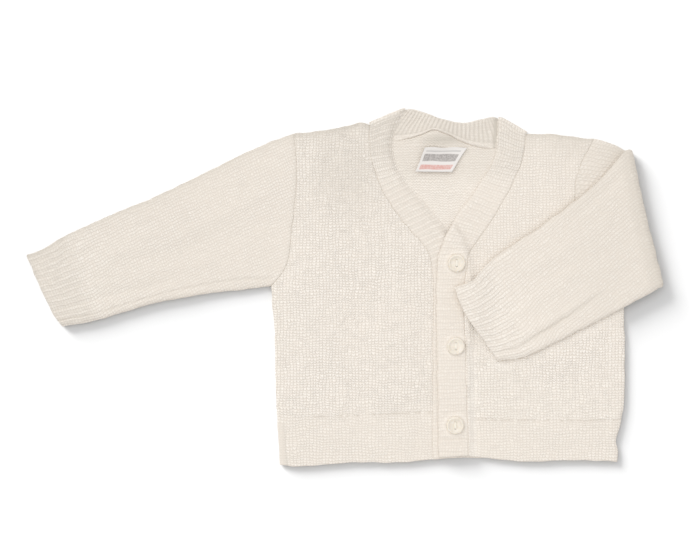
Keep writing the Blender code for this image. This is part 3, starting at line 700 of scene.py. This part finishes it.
def right_sleeve(materials):
    across = ladder(RIGHT_SLEEVE_WIDTH, 0.75, SLEEVE_EDGE_RADIUS, SLEEVE_EDGE_RADIUS)
    stations = ladder(RIGHT_SLEEVE_LENGTH, 1.7, SEWN_RADIUS, FREE_RADIUS)
    armhole, end = (sampled(smooth(table), across) for table in (RIGHT_ARMHOLE[::-1], RIGHT_CUFF))
    grid = sleeve_grid(armhole, end, RIGHT_SLEEVE_TOP, RIGHT_SLEEVE_UNDER, stations)
    at = stations[:, None]
    past = at - (1 - CUFF_DEPTH / RIGHT_SLEEVE_LENGTH)
    in_cuff, ribs, rear_ribs, furrows = cuff(across, past, 0.07)
    inside = ease(np.minimum(across, 1 - across) / 0.08)
    waves = 0.3 * ripple(grid, 45, 11) * (1 - 0.7 * in_cuff) * ease(at / 0.1)
    seam = bell(across - np.interp(at, *zip(*UNDERARM_SEAM)), 0.011) * ease(at / 0.05)
    front = ribs + inside * (waves + sleeve_creases(RIGHT_SLEEVE_CREASES, across, at)) - 0.45 * seam
    rear = rear_ribs + inside * np.minimum(sleeve_creases(RIGHT_SLEEVE_REAR_CREASES, across, at), 0)
    heights = 2 * WALL + LAYER_GAP + SLEEVE_SWELL * ease(2 * stations)
    middle = raised(grid, heights[:, None] / 2)
    reach = stations * RIGHT_SLEEVE_LENGTH
    outer, inner = sleeve_rings(middle, [UP] * len(grid), heights, front, rear, reach)

    to_cuff = ease(past / 0.15 + 1)
    wales, along = sleeve_wales(grid, RIGHT_SLEEVE_GRAIN, RIGHT_CUFF_WIDTH, across, to_cuff)
    from_top = across * widths(grid)
    from_armhole = reach[:, None]
    # Painted shade at the armhole, along the top edge, at the cuff's end, on the underarm seam and in the
    # cuff's furrows. The sleeve is also darker towards and in the cuff.
    shade = 0.2 + 0.15 * ease(at / 0.6) + 0.2 * in_cuff + 0.5 * fade(from_armhole, 0, 2.5)
    shade = shade + 0.7 * fade(from_top, 0.7, 2.8) + 0.2 * fade(from_top, 0, 12)
    shade = shade + 0.4 * fade(RIGHT_SLEEVE_LENGTH - from_armhole, 0.3, 2.5) + 0.45 * seam + 0.35 * furrows
    return wall(
        "right_sleeve_cloth", outer, inner, np.dstack([wales, -along / COURSE]), materials, ["right_sleeve"],
        around=True, line=NO_LINE, shade=shade, depth=0.68 + 0.22 * ease(at, 0.4, 0.5), rows=0.7,
    )


def left_sleeve(materials):
    """A hidden stretch at the armhole, the turn at the fold, and the stretch over the front."""
    across = ladder(FOLDED_WIDTH, 0.8, SLEEVE_EDGE_RADIUS, SLEEVE_EDGE_RADIUS)
    tables = (LEFT_ARMHOLE[::-1], LEFT_FOLD, LEFT_CUFF)
    armhole, fold, end = (sampled(smooth(table), across) for table in tables)
    below_at = ladder(HIDDEN_LENGTH, 2, SEWN_RADIUS)
    below = sleeve_grid(armhole, fold, LEFT_SLEEVE_TOP, LEFT_SLEEVE_UNDER, below_at)
    stations = ladder(FOLDED_LENGTH, 1.6, 0, FREE_RADIUS)
    above = sleeve_grid(fold, end, FOLDED_TOP[1:-1], FOLDED_UNDER[1:-1], stations)

    low = FOLDED_SLEEVE_HEIGHT / 2
    over_band = fade(above[..., 0], CUFF_STEP_X, CUFF_STEP)
    high = FOLDED_SLEEVE_FLOOR + (CUFF_OVER_BAND - FOLDED_SLEEVE_FLOOR) * over_band + low
    angles = np.linspace(0, math.pi, 14)[1:-1]
    turn, normals = folded_over(fold, 1, angles[::-1], high[0, 0], low)
    middle = [*raised(below, low), *turn, *raised(above, high)]
    normals = [UP] * len(below) + [-normal for normal in normals] + [-UP] * len(above)
    turn_length = math.pi * (high[0, 0] - low) / 2
    turned = HIDDEN_LENGTH + turn_length
    from_fold = stations * FOLDED_LENGTH
    reach = np.concatenate([
        below_at * HIDDEN_LENGTH, HIDDEN_LENGTH + turn_length * angles / math.pi, turned + from_fold
    ])
    heights = np.interp(reach, [0, HIDDEN_LENGTH], [2 * WALL + LAYER_GAP, FOLDED_SLEEVE_HEIGHT])

    at = stations[:, None]
    past = at - (1 - CUFF_DEPTH / FOLDED_LENGTH)
    in_cuff, ribs, rear_ribs, furrows = cuff(across, past, 0.08)
    inside = ease(np.minimum(across, 1 - across) / 0.06)
    waves = 0.35 * ripple(above, 42, 23) * (1 - 0.7 * in_cuff)
    shown = ribs + inside * (waves + sleeve_creases(FOLDED_SLEEVE_CREASES, across, at)) * ease(at / 0.06)
    before = len(below) + len(angles)
    plain = np.zeros((before, len(across)))
    front, rear = np.vstack([plain, rear_ribs]), np.vstack([plain, shown])
    outer, inner = sleeve_rings(middle, normals, heights, front, rear, reach)

    to_cuff = ease(past / 0.2 + 1)
    wales, along = sleeve_wales(above, FOLDED_SLEEVE_GRAIN, FOLDED_CUFF_WIDTH, across, to_cuff)
    wales = np.vstack([wales[:1] + plain, wales])
    hidden = reach[:before, None]
    along = np.vstack([along[0] + hidden - turned, along])
    narrow = [crease for crease in FOLDED_SLEEVE_CREASES if crease[4] < NARROW_CREASE]
    to_side = np.minimum(across, 1 - across) * widths(above)
    from_fold = from_fold[:, None]
    # Painted shade near the fold, most at its edge, along the sides, at the cuff's end, in the narrow creases
    # and the cuff's furrows, and over the hidden stretch, more towards the fold.
    shade = 0.05 + 0.4 * fade(from_fold, 25, 95) + 0.6 * fade(from_fold, 1, 9)
    shade = shade + np.where(across < 0.5, 0.4, 0.1) * fade(to_side, 0.7, 2.5)
    shade = shade + 0.1 * fade(FOLDED_LENGTH - from_fold, 0.3, 2.5)
    shade = shade - 1.3 * sleeve_creases(narrow, across, at) + 0.3 * furrows
    hidden_shade = 0.45 + 0.8 * ease(hidden / HIDDEN_LENGTH) + 0.2 * fade(hidden, 0, 2.5)
    return wall(
        "left_sleeve_cloth", outer, inner, np.dstack([wales, -along / COURSE]), materials, ["left_sleeve"],
        around=True, line=NO_LINE, shade=np.vstack([hidden_shade + plain, shade]),
        depth=0.66 + 0.22 * np.vstack([plain[:, :1], in_cuff]),
        rows=0.5 + 0.2 * (np.arange(len(wales)) < before)[:, None],
    )


# Band.

def band_stretch(table, floor, pitch=RIB_PITCH):
    """Middle points of a flat stretch of band, and the count of ribs at its rows."""
    rows = smooth(table)
    reach = lengths((rows[:, :2] + rows[:, 2:]) / 2)
    ribs = round(reach[-1] / pitch)
    at = np.linspace(0, reach[-1], ribs * RIB_ROWS + 1)
    rows = np.column_stack([np.interp(at, reach, column) for column in rows.T])
    across = BAND_ACROSS[None, :, None]
    flat = rows[:, None, :2] * (1 - across) + rows[:, None, 2:] * across
    return raised(flat, floor(flat[..., 0], flat[..., 1]) + WALL / 2), np.linspace(0, ribs, len(at))


def front_band(materials):
    """Up the right front, over at the neck, along it, over again and down the left front."""
    away = BAND_WIDTH * BAND_ACROSS
    right, right_ribs = band_stretch(RIGHT_BAND, lambda x, y: FRONT_FLOOR)
    neck, neck_ribs = band_stretch(NECK_BAND, lambda x, y: neck_hump(x, away), NECK_RIB_PITCH)
    left, left_ribs = band_stretch(LEFT_BAND, lambda x, y: FRONT_FLOOR + placket_lift(x, y))
    turn = np.linspace(0, 1, BAND_TURN_ROWS + 2)[1:-1]
    levels = (FRONT_FLOOR + WALL / 2, WALL / 2)
    right_fold, right_normals = folded_over(right[-1], 1, math.pi * turn, *levels)
    left_fold, left_normals = folded_over(left[0], -1, math.pi * turn[::-1], *levels)
    middle = np.concatenate([right, right_fold, neck, left_fold, left])
    normals = np.vstack([[UP] * len(right), right_normals, [-UP] * len(neck), left_normals, [UP] * len(left)])
    count, at = [], 0
    for part in (right_ribs, turn, neck_ribs, turn, left_ribs):
        count.append(at + part)
        at += math.ceil(part[-1])
    count = np.concatenate(count)[:, None]
    is_neck = np.concatenate([
        np.zeros(len(right)), ease(turn), np.ones(len(neck)), ease(1 - turn), np.zeros(len(left)),
    ])[:, None]

    x, y = middle[..., 0], middle[..., 1]
    centre = len(BAND_ACROSS) // 2
    rib = rib_profile(count + 0.5)
    in_vee = ease(y[:, centre, None], 12, 12)
    flat_edge = ease(BAND_ACROSS / 0.06) * ease((1 - BAND_ACROSS) / 0.05)
    on_ridge = fade(BAND_ACROSS, 0.16, 0.08)
    neck_rise = np.interp(BAND_ACROSS, *zip(*BAND_RIDGE)) + rib * RIB_RISE * (1 - on_ridge) * flat_edge
    outside = (1 - is_neck) * flat_edge * (rib * BAND_RIB_RISE * (0.8 + 0.2 * in_vee) - 0.05)
    outside = WALL / 2 + outside - 0.2 * is_neck * (1 - rib)
    shown = ease(x, NECK_SHOWS[0], NECK_SHOWS_EASE) * ease(NECK_SHOWS[1] - x, 0, NECK_SHOWS_EASE)
    inside = WALL / 2 + is_neck * shown * neck_rise - 0.15 * (1 - rib) * (1 - is_neck)
    row = np.arange(len(middle))[:, None]
    on_right, on_left = row < len(right), row >= len(middle) - len(left)
    finishing = sum(bell(y - line, 0.55) * on_left for line in BAND_FINISHING_Y)
    outside = outside - 0.5 * finishing

    # The seam keeps some thickness, fully so near the right shoulder. The right free edge thins out.
    smoothed = on_right * ease(y, 78, 12)
    at_seam = BAND_ACROSS < 0.5
    edge = np.minimum(away, BAND_WIDTH - away)
    keep = np.where(at_seam, SEWN_KEEP + 0.45 * smoothed, 0.08)

    def from_edge(free_radius):
        """Rise from the nearer edge, whose free side is rounded to a radius."""
        rounded = rim(edge, np.where(at_seam, SEWN_RADIUS, free_radius))
        return np.where(~at_seam & on_right, ease(edge / 5), rounded)

    middle[..., 2] -= 1.05 * (1 - from_edge(3)) * ~at_seam * np.clip(normals[:, 2:], 0, 1)
    travel = lengths(middle[:, centre])
    ends = 0.06 + 0.94 * rim(np.minimum(travel, travel[-1] - travel), FREE_RADIUS)[:, None]
    outside = outside * (keep + (1 - keep) * from_edge(3.2)) * ends
    inside = inside * (keep + (1 - keep) * from_edge(2)) * ends
    upper = middle + normals[:, None] * outside[..., None]
    under = middle - normals[:, None] * inside[..., None]

    # Painted shade in the rib furrows, on the finishing grooves, along the seam up the vee, over the upper
    # bands and the back neck with a line above its ridge, and in the wedge by the left fold.
    furrow = np.where(is_neck > 0.5, 0.9 * (1 - on_ridge), 0.16 + np.where(on_left, 0.06, 0.34) * in_vee)
    neck_shade = 0.6 * (1 - 0.2 * on_ridge) + 0.6 * bell(BAND_ACROSS - 0.21, 0.04)
    fold_x, fold_width = (np.interp(y, [97, 119], ends) for ends in ([103.8, 106], [0.7, 2.4]))
    shade = (1 - rib) * flat_edge * furrow + 0.3 * finishing
    shade = shade + 0.4 * fade(away, 0, 1.8) * (1 - is_neck) * in_vee * (1 - smoothed)
    shade = shade + 0.4 * on_left * ease(y, 70, 20) + 0.5 * on_right * ease(y, 82, 18)
    shade = shade + (1.6 * bell(x - fold_x, fold_width) + neck_shade) * is_neck
    # Round the buttons the painted shade is taken away and painted light is added, against their contact
    # shade.
    to_button = np.min([np.hypot(x - place[0], y - place[1]) for place in BUTTON_PLACES], axis=0)
    shade = shade * (1 - np.exp(-((to_button / 8.5) ** 4))) - bell(to_button - 7, 1.6)
    near_neck = (1 - is_neck) * ease(y, 65, 20)
    knit = np.dstack(np.broadcast_arrays(2 * count - 0.5, away / COURSE))
    return wall(
        "front_band_cloth", upper, under, knit, materials, ["front_band"], line=NO_LINE, shade=shade,
        depth=0.6 + 0.25 * near_neck + 0.2 * is_neck, rows=0.6 + 0.3 * near_neck - 0.1 * is_neck,
    )


# Label and buttons.

def neck_label(materials):
    """Blank woven label, lying inside the back neck with its ends curled up."""
    low_left, low_right, high_right, high_left = LABEL_CORNERS
    sides = ((low_left, high_left), (low_right, high_right))
    ends = ((low_left, low_right), (high_left, high_right))
    rows, columns = np.linspace(0, 1, 25), np.linspace(0, 1, 41)
    grid = spanned(*map(np.array, sides + ends), rows, columns)
    knit = np.dstack(np.meshgrid(columns, rows))
    along, up = knit[..., 0], knit[..., 1]
    curl = LABEL_CURL * ((2 * along - 1) ** 2 + (1 - up) ** 2) / 2 + 0.5 * np.sin(3.2 * along + 2 * up)
    under = LABEL_FLOOR + neck_hump(grid[..., 0], NECK_SEAM_Y - grid[..., 1]) + curl
    upper = raised(grid, under + LABEL_WALL)
    obj = wall("neck_label_cloth", upper, raised(grid, under), knit, materials, ["neck_label"])
    return obj


def button(number, place, material):
    """One two-hole button, turned, its rim raised round a dished middle."""
    profile = smooth([(share * BUTTON_RADIUS, height) for share, height in BUTTON_PROFILE], 4)
    turns = np.linspace(0, 2 * math.pi, 72, endpoint=False)
    points = [(0, 0, profile[0, 1]), (0, 0, profile[-1, 1])]
    points += [(r * math.cos(a), r * math.sin(a), z) for r, z in profile[1:-1] for a in turns]
    rings = 2 + np.arange(len(points) - 2).reshape(-1, len(turns))
    rings = np.hstack([rings, rings[:, :1]])
    faces = strip(rings[:-1], rings[1:]).tolist()
    for i, j, k, l in zip(rings[0], rings[0, 1:], rings[-1], rings[-1, 1:]):
        faces += [(0, j, i), (1, k, l)]
    x, y = place
    obj = solid(f"button_{number}_turned", np.array(points) + (x, y, BUTTON_FLOOR), faces)
    cutters = []
    for side in (-1, 1):
        bpy.ops.mesh.primitive_cylinder_add(vertices=24, radius=BUTTON_HOLE_RADIUS * MM, depth=8 * MM)
        cutter = bpy.context.object
        cutter.location = (x * MM, (y + side * BUTTON_HOLE_SPACING / 2) * MM, BUTTON_FLOOR * MM)
        hole = obj.modifiers.new("Hole", "BOOLEAN")
        hole.operation = "DIFFERENCE"
        hole.solver = "EXACT"
        hole.object = cutter
        cutters.append(cutter)
    bpy.context.view_layer.update()
    cut = bpy.data.meshes.new_from_object(obj.evaluated_get(bpy.context.evaluated_depsgraph_get()))
    obj.modifiers.clear()
    obj.data = cut
    for cutter in cutters:
        bpy.data.objects.remove(cutter)
    cut.materials.clear()
    cut.materials.append(material)
    cut.shade_smooth()
    cut.set_sharp_from_angle(angle=math.radians(40))
    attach(obj, "root")
    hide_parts(f"button_{number}")
    return obj


def thread(number, place, material):
    """Sewing thread across a button, from hole to hole, in three strands."""
    curve = bpy.data.curves.new(f"button_{number}_thread", "CURVE")
    curve.dimensions = "3D"
    curve.bevel_depth = THREAD_RADIUS * MM
    curve.bevel_resolution = 3
    half = BUTTON_HOLE_SPACING / 2
    stops = [(-half - 0.5, 0.9), (-half + 0.05, 1.85), (0, 2.12), (half - 0.05, 1.85), (half + 0.5, 0.9)]
    for strand in (-1, 0, 1):
        spline = curve.splines.new("BEZIER")
        spline.bezier_points.add(len(stops) - 1)
        for point, (y, z) in zip(spline.bezier_points, stops):
            point.co = ((place[0] + 0.38 * strand) * MM, (place[1] + y) * MM, (BUTTON_FLOOR + z) * MM)
            point.handle_left_type = point.handle_right_type = "AUTO"
    curve.materials.append(material)
    obj = linked(curve.name, curve)
    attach(obj, "root")
    return obj


# Materials.

class Nodes:
    """Short calls for a material's nodes."""

    def __init__(self, name):
        self.material = bpy.data.materials.new(name)
        self.material.use_nodes = True
        self.tree = self.material.node_tree
        self.place = self.add("ShaderNodeTexCoord").outputs["Object"]

    def add(self, kind, inputs=(), **settings):
        """A node with values or links for its first inputs, or for named ones."""
        node = self.tree.nodes.new(kind)
        for key, value in settings.items():
            setattr(node, key, value)
        self.plug(node, inputs)
        return node

    def plug(self, node, inputs):
        for key, value in inputs.items() if isinstance(inputs, dict) else enumerate(inputs):
            if isinstance(value, bpy.types.NodeSocket):
                self.tree.links.new(value, node.inputs[key])
            else:
                node.inputs[key].default_value = value

    def math(self, operation, *values):
        return self.add("ShaderNodeMath", values, operation=operation).outputs[0]

    def times(self, *values):
        """Product of two values, and a third added where it is given."""
        return self.math("MULTIPLY_ADD" if len(values) == 3 else "MULTIPLY", *values)

    def mix(self, factor, *colours):
        first, second = ((*value, 1) if isinstance(value, tuple) else value for value in colours)
        return self.add("ShaderNodeMix", {0: factor, 6: first, 7: second}, data_type="RGBA").outputs[2]

    def between(self, *values):
        """Smooth step of a value from low to high, from 0 to 1 or between a start and an end."""
        return self.add("ShaderNodeMapRange", values, interpolation_type="SMOOTHSTEP").outputs[0]

    def noise(self, scale, detail=2):
        inputs = {"Vector": self.place, "Scale": scale, "Detail": detail}
        return self.add("ShaderNodeTexNoise", inputs).outputs[0]

    def random(self, first, second):
        """A random number from 0 to 1 for each pair of whole numbers."""
        pair = self.add("ShaderNodeCombineXYZ", (first, second)).outputs[0]
        return self.add("ShaderNodeTexWhiteNoise", {"Vector": pair}, noise_dimensions="2D").outputs["Value"]

    def mark(self, name):
        return self.add("ShaderNodeAttribute", attribute_name=name).outputs["Fac"]

    def knit(self):
        counts = self.add("ShaderNodeUVMap", uv_map="knit").outputs[0]
        return self.add("ShaderNodeSeparateXYZ", (counts,)).outputs[:2]

    def relief(self, height, strength, distance):
        inputs = {"Height": height, "Strength": strength, "Distance": distance}
        return self.add("ShaderNodeBump", inputs).outputs[0]

    def finished(self, inputs):
        self.plug(self.tree.nodes["Principled BSDF"], inputs)
        return self.material


def knit_material(name, purl=False):
    """Knitted acrylic yarn: V stitches on the face, or purl bumps on the reverse, with painted shade in the
    gaps and painted light and shade from the mark "shade".
    """
    n = Nodes(name)
    wale, course = n.knit()
    depth = n.mark("depth")
    sway = n.math("SUBTRACT", n.noise(70), 0.5)
    lift = n.math("SUBTRACT", n.noise(80, 1), 0.5)
    jitter = n.math("SUBTRACT", n.noise(260, 1), 0.5)
    wale = n.times(jitter, 0.7, n.times(sway, 1.3, wale))
    course = n.times(jitter, -0.75, n.times(lift, 1.7, course))
    off = n.math("SUBTRACT", n.math("FRACT", wale), 0.5)
    if purl:
        wave = n.math("COSINE", n.times(wale, 2 * math.pi))
        phase = n.times(wave, 0.22, course)
        across = n.times(wave, 0.15, 0.85)
    else:
        side = n.times(n.math("ABSOLUTE", off), 2)
        phase = n.times(side, -0.35, course)
        across = n.math("SINE", n.times(side, 0.72 * math.pi, 0.27 * math.pi))
    turn = n.math("COSINE", n.times(phase, 2 * math.pi))
    leg = n.math("POWER", n.times(turn, -0.5, 0.5), 0.8)
    tight = n.times(n.between(n.noise(160, 1), 0.3, 0.7, 0.75, 1), n.mark("rows"))
    height = n.times(across, n.times(n.math("SUBTRACT", leg, 0.58), tight, 0.58))
    whole_wale = n.math("FLOOR", wale)
    uneven = n.random(whole_wale, n.math("FLOOR", phase))
    height = n.times(height, n.times(uneven, 0.5, 0.7))
    height = n.times(n.noise(2600, 3), 0.2, height)
    across_dot = n.times(off, 1.25)
    along_dot = n.times(n.mark("line"), 0.65)
    squared = n.math("ADD", n.times(across_dot, across_dot), n.times(along_dot, along_dot))
    chance = n.random(whole_wale, 7)
    dot = n.times(n.between(squared, 0.05, 0.28, 1, 0), n.between(chance, 0.2, 0.6))
    height = n.times(n.times(dot, -0.18, height), depth)

    # Painted shade between the stitches: the lower the relief, the darker the yarn.
    yarn = n.mix(n.between(height, 0.06, 0.62), YARN_GAP_SHADE, YARN)
    yarn = n.mix(depth, YARN_MEAN, yarn)
    by_row = n.random(3, n.math("FLOOR", course))
    by_column = n.random(whole_wale, 3)
    tone = n.between(n.noise(22, 3), 0.3, 0.7, 0, 0.25)
    yarn = n.mix(n.times(n.math("ADD", by_row, by_column), 0.05, tone), yarn, YARN_WARM)
    patchy = n.between(n.noise(620, 2), 0.35, 0.65, 0, 0.45)
    yarn = n.mix(n.times(patchy, n.times(n.mark("rows"), -0.9, 1.9)), yarn, YARN_DEEP)
    yarn = n.mix(n.times(dot, 0.27), yarn, DOT)
    # Painted light pales the yarn where the mark "shade" is below 0; painted shade darkens it where it is
    # above.
    yarn = n.mix(n.times(n.mark("shade"), -0.5), yarn, YARN)
    yarn = n.mix(n.times(n.mark("shade"), 0.5), yarn, YARN_SHADE)
    return n.finished({
        "Base Color": yarn,
        "Normal": n.relief(height, 1, KNIT_RELIEF * MM),
        "Roughness": 0.88,
        "Specular IOR Level": 0.25,
        "Sheen Weight": 0.12,
        "Sheen Roughness": 0.45,
        "Sheen Tint": (1, 0.97, 0.92, 1),
    })


def label_material():
    """White satin weave with plain stripes."""
    n = Nodes("label_satin")
    along, up = n.knit()
    warp = n.math("SINE", n.times(along, 2 * math.pi * 110))
    weft = n.math("SINE", n.times(up, 2 * math.pi * 60))
    weave = n.times(n.times(warp, weft), 0.5, 0.5)
    inside = n.times(n.between(along, 0.06, 0.08), n.between(along, 0.90, 0.92, 1, 0))
    worn = n.between(n.noise(900, 2), 0.3, 0.7, 0.55, 0.95)
    colour = n.mix(n.times(weave, 0.35), *LABEL_WHITES)
    for low, high, soft, wear, tint in LABEL_STRIPES:
        stripe = n.times(n.between(up, low, low + soft), n.between(up, high - soft, high, 1, 0))
        colour = n.mix(n.times(n.times(stripe, inside), wear or worn), colour, tint)
    return n.finished({
        "Base Color": colour,
        "Normal": n.relief(weave, 0.6, LABEL_RELIEF * MM),
        "Roughness": n.between(n.noise(300), 0.3, 0.7, 0.3, 0.42),
        "Sheen Weight": 0.3,
    })


def button_material():
    """Cream pearl plastic."""
    n = Nodes("button_pearl")
    cloud = n.noise(260, 4)
    colour = n.mix(n.between(cloud, 0.35, 0.65), *PEARL)
    fine = n.between(n.noise(1400, 2), 0.45, 0.75, 0, 0.2)
    return n.finished({
        "Base Color": n.mix(fine, colour, PEARL_LIGHT),
        "Roughness": n.between(cloud, 0.3, 0.7, 0.22, 0.34),
        "Specular IOR Level": 0.4,
        "Coat Weight": 0.4,
        "Coat Roughness": 0.12,
        "Subsurface Weight": 0.15,
        "Subsurface Radius": (0.0012, 0.001, 0.0007),
    })


def thread_material():
    """Twisted cotton thread."""
    n = Nodes("sewing_thread")
    twist = n.add("ShaderNodeTexWave", {"Vector": n.place, "Scale": 900}, bands_direction="DIAGONAL")
    return n.finished({"Base Color": n.mix(twist.outputs["Fac"], *COTTON), "Roughness": 0.75})


# Stage, camera and lights.

def sun(name, elevation, azimuth, width, strength):
    """A wide soft light from far off."""
    light = bpy.data.lights.new(name, "SUN")
    light.energy = strength
    light.angle = math.radians(width)
    obj = linked(name, light)
    obj.rotation_euler = (math.radians(90 - elevation), 0, math.radians(azimuth))
    return obj


def shine_only_on(light, name, pieces):
    lit = bpy.data.collections.new(name)
    for piece in pieces:
        lit.objects.link(piece)
    light.light_linking.receiver_collection = lit


def floor_and_light(garment):
    bpy.ops.mesh.primitive_plane_add(size=6, location=(0, 0, -0.00005))
    floor = bpy.context.object
    floor.name = "floor"
    n = Nodes("floor_white")
    floor.data.materials.append(n.finished({
        "Base Color": n.mix(n.noise(3), *FLOOR_GREYS), "Roughness": 1, "Specular IOR Level": 0,
    }))

    world = bpy.data.worlds.new("studio")
    world.use_nodes = True
    background = world.node_tree.nodes["Background"]
    background.inputs[0].default_value = (1, 1, 1, 1)
    background.inputs[1].default_value = AROUND_LIGHT
    bpy.context.scene.world = world

    sun("key", *KEY_LIGHT)
    shine_only_on(sun("floor_key", *FLOOR_LIGHT), "lit_floor", [floor])
    fill = sun("fill", *FILL_LIGHT)
    fill.data.use_shadow = False
    shine_only_on(fill, "filled_garment", garment)


def camera():
    lens = bpy.data.cameras.new("camera")
    lens.sensor_width = 36
    lens.lens = lens.sensor_width * (CAMERA_HEIGHT - VIEW_LEVEL) / VIEW_WIDTH
    lens.clip_end = 20
    obj = linked("camera", lens)
    obj.location = (*VIEW_CENTRE, CAMERA_HEIGHT)
    bpy.context.scene.camera = obj


def main():
    knit = knit_material("knit_face")
    reverse = knit_material("knit_reverse", purl=True)
    satin = label_material()
    pearl = button_material()
    cotton = thread_material()
    faces = [knit, reverse]
    sheets = [
        (right_front(faces), (0.115, 0.235), None, ["back_cloth"]),
        (left_front(faces), (0.115, 0.225), None, ["back_cloth"]),
        (back_panel(faces[::-1]), (0.245, 0.24), None, ["floor"]),
        (right_sleeve(faces), (0.168, 0.19), None, ["floor"]),
        (left_sleeve(faces), (0.19, 0.17), None, ["left_front_cloth"]),
        (front_band(faces), (0.02, 0.57), None, ["back_cloth"]),
    ]
    label = neck_label([satin])
    fastenings = []
    for number, place in enumerate(BUTTON_PLACES, 1):
        fastenings += [button(number, place, pearl), thread(number, place, cotton)]
    floor_and_light([*(row[0] for row in sheets), label, *fastenings])
    camera()
    view = bpy.context.scene.view_settings
    view.view_transform = "Standard"
    view.look = "None"
    view.exposure = 0


main()
